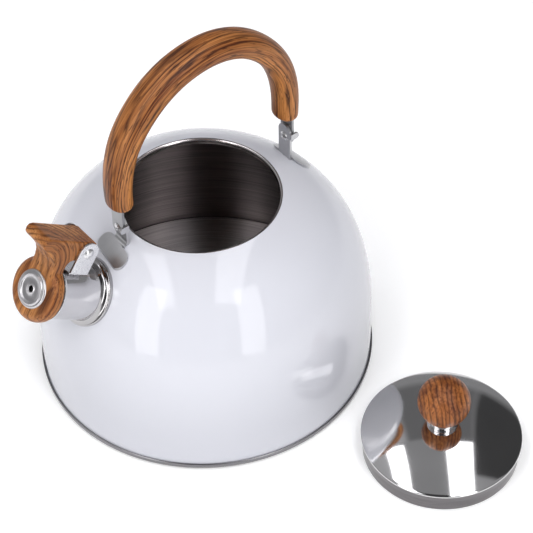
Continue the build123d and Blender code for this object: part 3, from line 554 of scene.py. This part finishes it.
boolean(lever, cyl_across("cut_a", 2.27, -20, 20))
boolean(lever, extrude_outline("cut_b", [(PIV_U - 4.3, 20), (PIV_U - 4.3, PIV_W), (PIV_U - 2.5, PIV_W + 3.5), (PIV_U, PIV_W + 4.3), (PIV_U + 2.5, PIV_W + 3.5), (PIV_U + 4.3, PIV_W + 1.6), (33.0, PIV_W + 1.6), (33.0, 28.6), (PIV_U + 4.3, 28.6), (PIV_U + 4.3, 20)], 4.2, I4))
boolean(lever, cyl_obj("cut_c", 9.0, 30, 60, I4))
boolean(lever, cyl_obj("cut_d", 13.6, DISC_BACK - 2, DISC_BACK + 1.0, I4))
me = lever.data
gr = []
for v in me.vertices:
    w, y, u = v.co.x / MM, v.co.y / MM, v.co.z / MM
    du, dw = max(54 - u, 0), max(w - 21, 0)
    t = math.hypot(du, dw)
    a = math.atan2(dw, du)
    s = a * 19 + max(u - 54, 0) - max(21 - w, 0) * 0.9
    gr.append((s * MM, t * MM, y * MM))
if "grain" in me.attributes:
    me.attributes.remove(me.attributes["grain"])
add_attr(me, "grain", gr)
me.materials.clear()
me.materials.append(WOOD_L)
me.polygons.foreach_set("material_index", [0] * len(me.polygons))
me.transform(to_m(SPOUT))
finish_mesh(me, 50)
place(lever, "lever", "wood_look_plastic", "whistle_lever")

# whistle face
f = DISC_FRONT + 0.03
prof = [(1.9, f + 0.35, 0), (1.9, f + 1.05, 0)] + arc(2.3, f + 1.05, 0.4, 180, 40, 5)
prof += [(3.4, f + 0.98, 0), (4.6, f + 0.84, 0), (5.8, f + 0.84, 0), (7.0, f + 1.0, 0), (7.7, f + 1.25, 0)]
prof += arc(8.7, f + 1.2, 0.85, 160, 25, 8)
prof += [(9.65, f + 1.3, 0), (9.9, f + 1.25, 0), (10.3, f + 1.3, 0)]
prof += [(10.7, f + 1.2, 0), (11.1, f + 0.95, 0), (11.4, f + 0.6, 0), (11.6, f, 0), (8.95, f, 0), (8.95, f - 2.2, 0), (8.15, f - 2.2, 0), (8.15, f + 0.35, 0)]
face = lathe("whistle_face_turned", prof, [FACEM], seg=128, mat=SPOUT, angle=50)
place(face, "lever", "polished_steel", "whistle_face")
# painted shade: a near-black disc behind the sounding hole, seated on the cup side of the cavity, standing in for the
# shade inside the whistle
HOLE = Mat("whistle_hole_painted_shade")
hn = HOLE.noise(HOLE.obj(), 500, 2)
HOLE.l(HOLE.ramp(hn, [(0.3, (0.006, 0.006, 0.006)), (0.7, (0.012, 0.012, 0.012))]), HOLE.b.inputs["Base Color"])
HOLE.l(HOLE.math("MULTIPLY_ADD", hn, 0.1, 0.75), HOLE.b.inputs["Roughness"])
hole_shade_disc = lathe("whistle_hole_shade_disc", [(0, f - 1.4, 0), (8.0, f - 1.4, 0), (8.0, f - 1.9, 0), (0, f - 1.9, 0)], [HOLE.m], seg=64, mat=SPOUT, closed=True)
place(hole_shade_disc, "lever", "black_silicone")

# ------------------------------------------------------------------ handle grip
GRIP = [
    (-56.0, 154.8), (-56.4, 163.0), (-56.0, 173.0), (-54.2, 184.0), (-50.6, 195.2), (-45.2, 205.0), (-38.0, 213.8),
    (-29.0, 221.9), (-18.6, 228.2), (-7.2, 232.2), (4.8, 233.9), (16.8, 233.1), (28.2, 229.7), (38.8, 223.7),
    (48.2, 215.5), (55.8, 206.0), (61.2, 195.2), (64.6, 183.0), (66.0, 170.0), (65.8, 154.8),
]


def catmull(P, n):
    """Centripetal-like smooth curve through the points, n samples per span."""
    ext = [(2 * P[0][0] - P[1][0], 2 * P[0][1] - P[1][1])] + P + [(2 * P[-1][0] - P[-2][0], 2 * P[-1][1] - P[-2][1])]
    out = []
    for i in range(1, len(ext) - 2):
        p0, p1, p2, p3 = ext[i - 1:i + 3]
        for j in range(n):
            t = j / n
            out.append(tuple(0.5 * ((2 * p1[c]) + (-p0[c] + p2[c]) * t + (2 * p0[c] - 5 * p1[c] + 4 * p2[c] - p3[c]) * t * t + (-p0[c] + 3 * p1[c] - 3 * p2[c] + p3[c]) * t ** 3) for c in (0, 1)))
    out.append(P[-1])
    return out


line = catmull(GRIP, 8)
# light smoothing so that the arch has no ripples
for _ in range(6):
    line = [line[0]] + [((line[i - 1][0] + 2 * line[i][0] + line[i + 1][0]) / 4, (line[i - 1][1] + 2 * line[i][1] + line[i + 1][1]) / 4) for i in range(1, len(line) - 1)] + [line[-1]]
seglen = [0.0]
for i in range(1, len(line)):
    seglen.append(seglen[-1] + math.dist(line[i], line[i - 1]))
TOTAL = seglen[-1]


def sample(s):
    s = max(0.0, min(TOTAL, s))
    i = 1
    while i < len(seglen) - 1 and seglen[i] < s:
        i += 1
    k = (s - seglen[i - 1]) / (seglen[i] - seglen[i - 1])
    p = (line[i - 1][0] + k * (line[i][0] - line[i - 1][0]), line[i - 1][1] + k * (line[i][1] - line[i - 1][1]))
    return p


def half_at(x, z):
    t = max(0.0, min(1.0, (z - 154.8) / (233.9 - 154.8)))
    k = math.sin(t * math.pi / 2) ** 1.3
    thin = 7.2 if x < 0 else 7.0
    return thin + (8.2 - thin) * k, thin + 2.0 + (10.8 - thin - 2.0) * k


stations = []
CR = 3.6
for i in range(9):
    a = math.radians(90 * i / 8)
    stations.append((CR * (1 - math.sin(a)) if i else CR * 1.0, CR * (1 - math.cos(a))))
ends = []
for i in range(9):
    a = math.radians(90 * i / 8)
    ends.append((CR - CR * math.sin(a), CR * (1 - math.cos(a))))      # (arc length from the end, inset)
ends = ends[::-1]                                                     # from the end face inwards: inset shrinks
stops = [(s, ins) for s, ins in ends]
NS = 150
stops += [(CR + (TOTAL - 2 * CR) * i / NS, 0.0) for i in range(1, NS)]
stops += [(TOTAL - s, ins) for s, ins in reversed(ends)]
SEG = 72
verts, gr = [], []
for s, ins in stops:
    x, z = sample(s)
    p, q = sample(s - 1.0), sample(s + 1.0)
    tx, tz = q[0] - p[0], q[1] - p[1]
    if s < 12 or s > TOTAL - 12:
        k = min(s, TOTAL - s) / 12
        ex, ez = (0, 1) if s < TOTAL / 2 else (0, -1)
        L0 = math.hypot(tx, tz)
        tx, tz = ex + (tx / L0 - ex) * k, ez + (tz / L0 - ez) * k
    L = math.hypot(tx, tz)
    tx, tz = tx / L, tz / L
    nx, nz = -tz, tx                       # outward from the arch's inside for the front leg
    a, b = half_at(x, z)
    a, b = a - ins, b - ins
    for j in range(SEG):
        th = 2 * math.pi * j / SEG
        e = 2 / 2.15
        ca, sa = math.cos(th), math.sin(th)
        ca, sa = math.copysign(abs(ca) ** e, ca), math.copysign(abs(sa) ** e, sa)
        verts.append(((x + nx * a * ca) * MM, b * sa * MM, (z + nz * a * ca) * MM))
        gr.append((s * MM, a * ca * MM, b * sa * MM))
faces = []
N = len(stops)
for i in range(N - 1):
    for j in range(SEG):
        k = (j + 1) % SEG
        faces.append((i * SEG + j, i * SEG + k, (i + 1) * SEG + k, (i + 1) * SEG + j))
faces.append(tuple(range(SEG))[::-1])
faces.append(tuple((N - 1) * SEG + j for j in range(SEG)))
me = bpy.data.meshes.new("handle_grip_moulding")
me.from_pydata(verts, [], faces)
add_attr(me, "grain", gr)
me.materials.append(WOOD)
bm = bmesh.new()
bm.from_mesh(me)
bmesh.ops.recalc_face_normals(bm, faces=bm.faces)
bm.to_mesh(me)
bm.free()
finish_mesh(me, 60)
grip = bpy.data.objects.new("handle_grip_moulding", me)
COL.objects.link(grip)
place(grip, "handle", "wood_look_plastic", "handle_grip")

# ------------------------------------------------------------------ lid
LID = Matrix.Translation((LID_XY[0], LID_XY[1], 0))
r_edge = LID_EDGE_R - 0.6


def drop(r, R=LID_DOME_R):
    return R - math.sqrt(R * R - r * r)


LID_Z_TOP = LID_Z_EDGE + drop(r_edge)
prof = [(3.0 + (r_edge - 3.0) * i / 48, LID_Z_TOP - drop(3.0 + (r_edge - 3.0) * i / 48), 0) for i in range(49)]
prof += [(LID_EDGE_R - 0.25, LID_Z_EDGE - 0.25, 0), (LID_EDGE_R - 0.04, LID_Z_EDGE - 0.6, 0), (LID_EDGE_R, LID_Z_EDGE - 0.95, 0), (LID_EDGE_R - 0.12, LID_Z_EDGE - 1.35, 0), (LID_EDGE_R - 0.5, LID_Z_EDGE - 1.75, 0)]
prof += [(LID_SKIRT_R + 0.5, LID_Z_EDGE - 1.95, 1), (LID_SKIRT_R + 0.13, LID_Z_EDGE - 2.15, 1), (LID_SKIRT_R, LID_Z_EDGE - 2.5, 1), (LID_SKIRT_R, 6, 1), (LID_SKIRT_R, 0.5, 1)]
prof += arc(LID_SKIRT_R - 0.5, 0.5, 0.5, 0, -180, 8, 1)[1:]
prof += [(LID_SKIRT_R - 0.92, 0.85, 1), (LID_SKIRT_R - LID_T, 1.2, 1), (LID_SKIRT_R - LID_T, LID_Z_EDGE - 1.9, 1)]
prof += [(r, LID_Z_TOP - LID_T - drop(r, LID_DOME_R - LID_T), 1) for r in [3.0 + (r_edge - 3.95) * i / 24 for i in range(24, -1, -1)]]
SKIRT = make_brushed("skirt_steel", (0.20, 0.19, 0.195), 0.14, 0.26, bump=0.06, fine=0.5)
lid = lathe("lid_shell_skin", prof, [LIDPOL, SKIRT], seg=224, mat=LID, angle=30)
place(lid, "lid", "polished_steel", "lid_shell")

ball = lambda r: KNOB_Z - math.sqrt((KNOB_R + 0.06) ** 2 - r * r)
zb = LID_Z_TOP - drop(9.2)
z79 = ball(7.9)
prof = [(2.7 + 6.5 * i / 8, LID_Z_TOP - drop(2.7 + 6.5 * i / 8), 0) for i in range(9)]
prof += [(9.42, zb + 0.1, 0), (9.55, zb + 0.35, 0), (9.46, zb + 0.8, 0), (9.34, zb + 1.3, 0), (9.30, zb + 1.8, 0), (9.36, zb + 2.4, 0), (9.5, zb + 2.95, 0), (9.66, 28.2, 0)]
prof += [(9.74, 28.55, 0), (9.72, z79 - 0.4, 0), (9.6, z79 - 0.17, 0), (9.4, z79 - 0.03, 0), (9.2, z79, 0), (7.9, z79, 0)]
prof += [(7.5, ball(7.5), 0), (7.1, ball(7.1), 0), (6.8, ball(6.8), 0), (6.3, 28.4, 0), (2.7, 28.4, 0)]
ferr = lathe("knob_ferrule_turned", prof, [POL], seg=128, mat=LID, angle=40)
place(ferr, "lid", "polished_steel", "knob_ferrule")

prof = []
az0 = -math.degrees(math.asin((KNOB_Z - 28.45) / KNOB_R))
prof = [(0.0, 28.45, 0), (3.6, 28.45, 0)]
for i in range(61):
    a = math.radians(az0 + (90 - az0) * i / 60)
    prof.append((max(KNOB_R * math.cos(a), 0.0), KNOB_Z + KNOB_R * math.sin(a), 0))
knob = lathe("lid_knob_turned", prof, [WOOD_K], seg=128, mat=LID, closed=False, angle=50)
me = knob.data
sx = Vector((0.84, -0.53, 0.10)).normalized()
ax = (Vector((0, 0, 1)) - sx * sx.z).normalized()
sy = ax.cross(sx)
vals = []
for v in me.vertices:
    p = v.co - Vector((LID_XY[0], LID_XY[1], KNOB_Z)) * MM
    vals.append((p.dot(ax) * 0.8, p.dot(sx), p.dot(sy)))
add_attr(me, "grain", vals)
place(knob, "lid", "wood_look_plastic", "lid_knob")

# ------------------------------------------------------------------ carried-over parts of the frame: finish and softened edges
FINISH = {
    "base_cap": PLAIN, "heat_spreader_disc": ALU, "lever_bracket": BRACKET, "lever_pivot_rivet": BRACKET, "lever_spring": PLAIN,
    "front_handle_bracket": SATIN, "rear_handle_bracket": SATIN, "front_handle_rivet": BRACKET, "rear_handle_rivet": BRACKET,
    "front_handle_strap": STRAP, "rear_handle_strap": STRAP, "front_grip_pin": PLAIN, "rear_grip_pin": PLAIN,
    "whistle_cup": PLAIN, "spout_seal": RUB, "knob_threaded_insert": BRASS, "lid_washer": PLAIN, "lid_screw": PLAIN,
}
SOFT = {"lever_bracket": 0.25, "front_handle_bracket": 0.3, "rear_handle_bracket": 0.3, "front_handle_strap": 0.25, "rear_handle_strap": 0.25}
for name, m in FINISH.items():
    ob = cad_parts[name]
    if not ob.material_slots:
        ob.data.materials.append(m)
    for sl in ob.material_slots:
        sl.material = m
    if name in SOFT:
        bv = ob.modifiers.new("edge", "BEVEL")
        bv.width = SOFT[name] * MM
        bv.segments = 3
        bv.limit_method = "ANGLE"
        bv.angle_limit = math.radians(40)
        bv.harden_normals = False

# ------------------------------------------------------------------ floor, light and camera
me = bpy.data.meshes.new("floor")
bm = bmesh.new()
bmesh.ops.create_grid(bm, x_segments=1, y_segments=1, size=6.0)
bm.to_mesh(me)
bm.free()
floor = bpy.data.objects.new("floor", me)
COL.objects.link(floor)
FL = Mat("floor_white")
fn = FL.noise(FL.obj(), 3, 2)
fcol = FL.ramp(fn, [(0.3, (0.86, 0.86, 0.86)), (0.7, (0.88, 0.88, 0.88))])
# painted light: the floor's colour is pale near the object and mixed to grey far from it, a painted falloff of light
fd = FL.n("ShaderNodeVectorMath", operation="LENGTH")
FL.l(FL.obj(), fd.inputs[0])
FL.l(FL.mix(FL.ramp(FL.math("MULTIPLY", fd.outputs["Value"], 0.5), [(0.36, (0, 0, 0)), (0.62, (1, 1, 1))], "EASE"), fcol, (0.62, 0.62, 0.63)), FL.b.inputs["Base Color"])
# painted light: the floor glows, more strongly near the object, a painted pool of light
far = FL.n("ShaderNodeVectorMath", operation="LENGTH")
FL.l(FL.obj(), far.inputs[0])
painted_light_pool = FL.ramp(FL.math("MULTIPLY", far.outputs["Value"], 0.5), [(0.36, (0.24,) * 3), (0.62, (0.12,) * 3)], "EASE")
FL.l(painted_light_pool, FL.b.inputs["Emission Strength"])
FL.set(Roughness=0.9, Emission_Color=(1, 1, 1, 1))
FL.b.inputs["Specular IOR Level"].default_value = 0.1
floor.data.materials.append(FL.m)
floor.location = (0, 0, -0.0002)

cam = bpy.data.cameras.new("camera")
cam.sensor_fit = "HORIZONTAL"
cam.sensor_width = 36.0
cam.lens = 1848.706 / 533 * 36
cam.clip_start, cam.clip_end = 0.05, 50
co = bpy.data.objects.new("camera", cam)
COL.objects.link(co)
right = Vector((0.77886416, -0.62703418, -0.01409767))
up = Vector((0.4586865, 0.55413487, 0.69465188))
fwd = Vector((0.42775846, 0.54750587, -0.71920791))
M = Matrix((right, up, -fwd)).transposed().to_4x4()
M.translation = Vector((-0.4592008, -0.6511888, 0.8898827))
co.matrix_world = M
bpy.context.scene.camera = co


def area(name, az, el, dist, w, h, power, tilt_at=(0, 0, 0.08), col=(1, 1, 1), roll=0.0):
    """Softbox seen from the object at azimuth az (0 is +Y, 90 is +X) and elevation el, facing it."""
    la = bpy.data.lights.new(name, "AREA")
    la.shape = "RECTANGLE"
    la.size, la.size_y = w, h
    la.energy = power
    la.color = col
    ob = bpy.data.objects.new(name, la)
    COL.objects.link(ob)
    a, e = math.radians(az), math.radians(el)
    p = Vector((math.sin(a) * math.cos(e), math.cos(a) * math.cos(e), math.sin(e))) * dist + Vector(tilt_at)
    d = (Vector(tilt_at) - p).normalized()
    ob.matrix_world = Matrix.Translation(p) @ d.to_track_quat("-Z", "Y").to_matrix().to_4x4() @ Matrix.Rotation(math.radians(roll), 4, "Z")
    return ob


area("softbox_left", -103, 26.5, 1.5, 0.42, 1.62, 6.4, roll=11)
area("softbox_right", -177, 26.5, 1.5, 0.42, 1.62, 6.4, roll=-11)
fill = area("fill_top", -145, 78, 1.7, 1.6, 1.6, 5.0)
fill.visible_glossy = False
front = area("fill_front", -142, 52, 1.9, 1.1, 1.1, 3.0)
front.visible_glossy = False

# studio surroundings by direction: a dim room with two bright strip lights above and behind the object
w = bpy.data.worlds.new("studio")
bpy.context.scene.world = w
w.use_nodes = True
nt = w.node_tree
nt.nodes.clear()
wo = nt.nodes.new("ShaderNodeOutputWorld")
bg = nt.nodes.new("ShaderNodeBackground")
nt.links.new(bg.outputs[0], wo.inputs[0])
tc = nt.nodes.new("ShaderNodeTexCoord")
sp = nt.nodes.new("ShaderNodeSeparateXYZ")
nt.links.new(tc.outputs["Generated"], sp.inputs[0])


def wm(op, *args, clamp=False):
    nd = nt.nodes.new("ShaderNodeMath")
    nd.operation = op
    nd.use_clamp = clamp
    for k, v in enumerate(args):
        if isinstance(v, (int, float)):
            nd.inputs[k].default_value = v
        else:
            nt.links.new(v, nd.inputs[k])
    return nd.outputs[0]


AZ = wm("ARCTAN2", sp.outputs["X"], sp.outputs["Y"])
EL = wm("ARCSINE", sp.outputs["Z"])


def inside(v, lo, hi, soft):
    """1 between lo and hi degrees, falling to 0 over soft degrees outside."""
    c, h = math.radians((lo + hi) / 2), math.radians((hi - lo) / 2)
    d = wm("ABSOLUTE", wm("SUBTRACT", v, c))
    return wm("SUBTRACT", 1.0, wm("DIVIDE", wm("SUBTRACT", d, h), math.radians(soft), clamp=True))


def patch(level, az, el, value, soft=2.0):
    k = wm("MULTIPLY", inside(AZ, az[0], az[1], soft), inside(EL, el[0], el[1], soft))
    return wm("ADD", wm("MULTIPLY", level, wm("SUBTRACT", 1.0, k)), wm("MULTIPLY", k, value))


ACROSS = wm("ADD", wm("MULTIPLY", sp.outputs["X"], -0.81), wm("MULTIPLY", sp.outputs["Y"], 0.59))
ALONG = wm("ADD", wm("MULTIPLY", sp.outputs["X"], -0.59), wm("MULTIPLY", sp.outputs["Y"], -0.81))
UPPER = wm("MULTIPLY", wm("SUBTRACT", sp.outputs["Z"], 0.16), 8.0, clamp=True)


def band(v, lo, hi, soft):
    d = wm("ABSOLUTE", wm("SUBTRACT", v, (lo + hi) / 2))
    return wm("SUBTRACT", 1.0, wm("DIVIDE", wm("SUBTRACT", d, (hi - lo) / 2), soft, clamp=True))


def panel(level, across, along, value, soft=0.012):
    """A flat panel overhead, by the horizontal parts of the direction."""
    k = wm("MULTIPLY", wm("MULTIPLY", band(ACROSS, *across, soft), band(ALONG, *along, soft)), UPPER)
    return wm("ADD", wm("MULTIPLY", level, wm("SUBTRACT", 1.0, k)), wm("MULTIPLY", k, value))


level = wm("ADD", 0.26, wm("MULTIPLY", sp.outputs["Z"], 0.08))
level = panel(level, (0.30, 0.80), (-1.0, 0.2), 0.42, 0.06)
level = panel(level, (-0.36, 0.22), (-1.0, -0.36), 0.15, 0.06)
level = panel(level, (-0.12, 0.31), (-0.40, 0.30), 0.27, 0.04)
level = panel(level, (-1.0, -0.42), (-1.0, 0.0), 0.055, 0.05)
level = panel(level, (-0.12, 0.31), (0.32, 0.95), 0.05, 0.05)
level = panel(level, (0.31, 0.47), (-0.38, 0.62), 3.2)
level = panel(level, (-0.375, -0.12), (-0.36, 0.62), 3.2)
cb = nt.nodes.new("ShaderNodeCombineColor")
nt.links.new(level, cb.inputs[0])
nt.links.new(level, cb.inputs[1])
nt.links.new(wm("MULTIPLY", level, 1.03), cb.inputs[2])
nt.links.new(cb.outputs[0], bg.inputs["Color"])
bg.inputs["Strength"].default_value = 1.0
sc = bpy.context.scene
sc.view_settings.view_transform = "Standard"
sc.view_settings.look = "None"
sc.view_settings.exposure = 0.0
sc.view_settings.gamma = 1.0
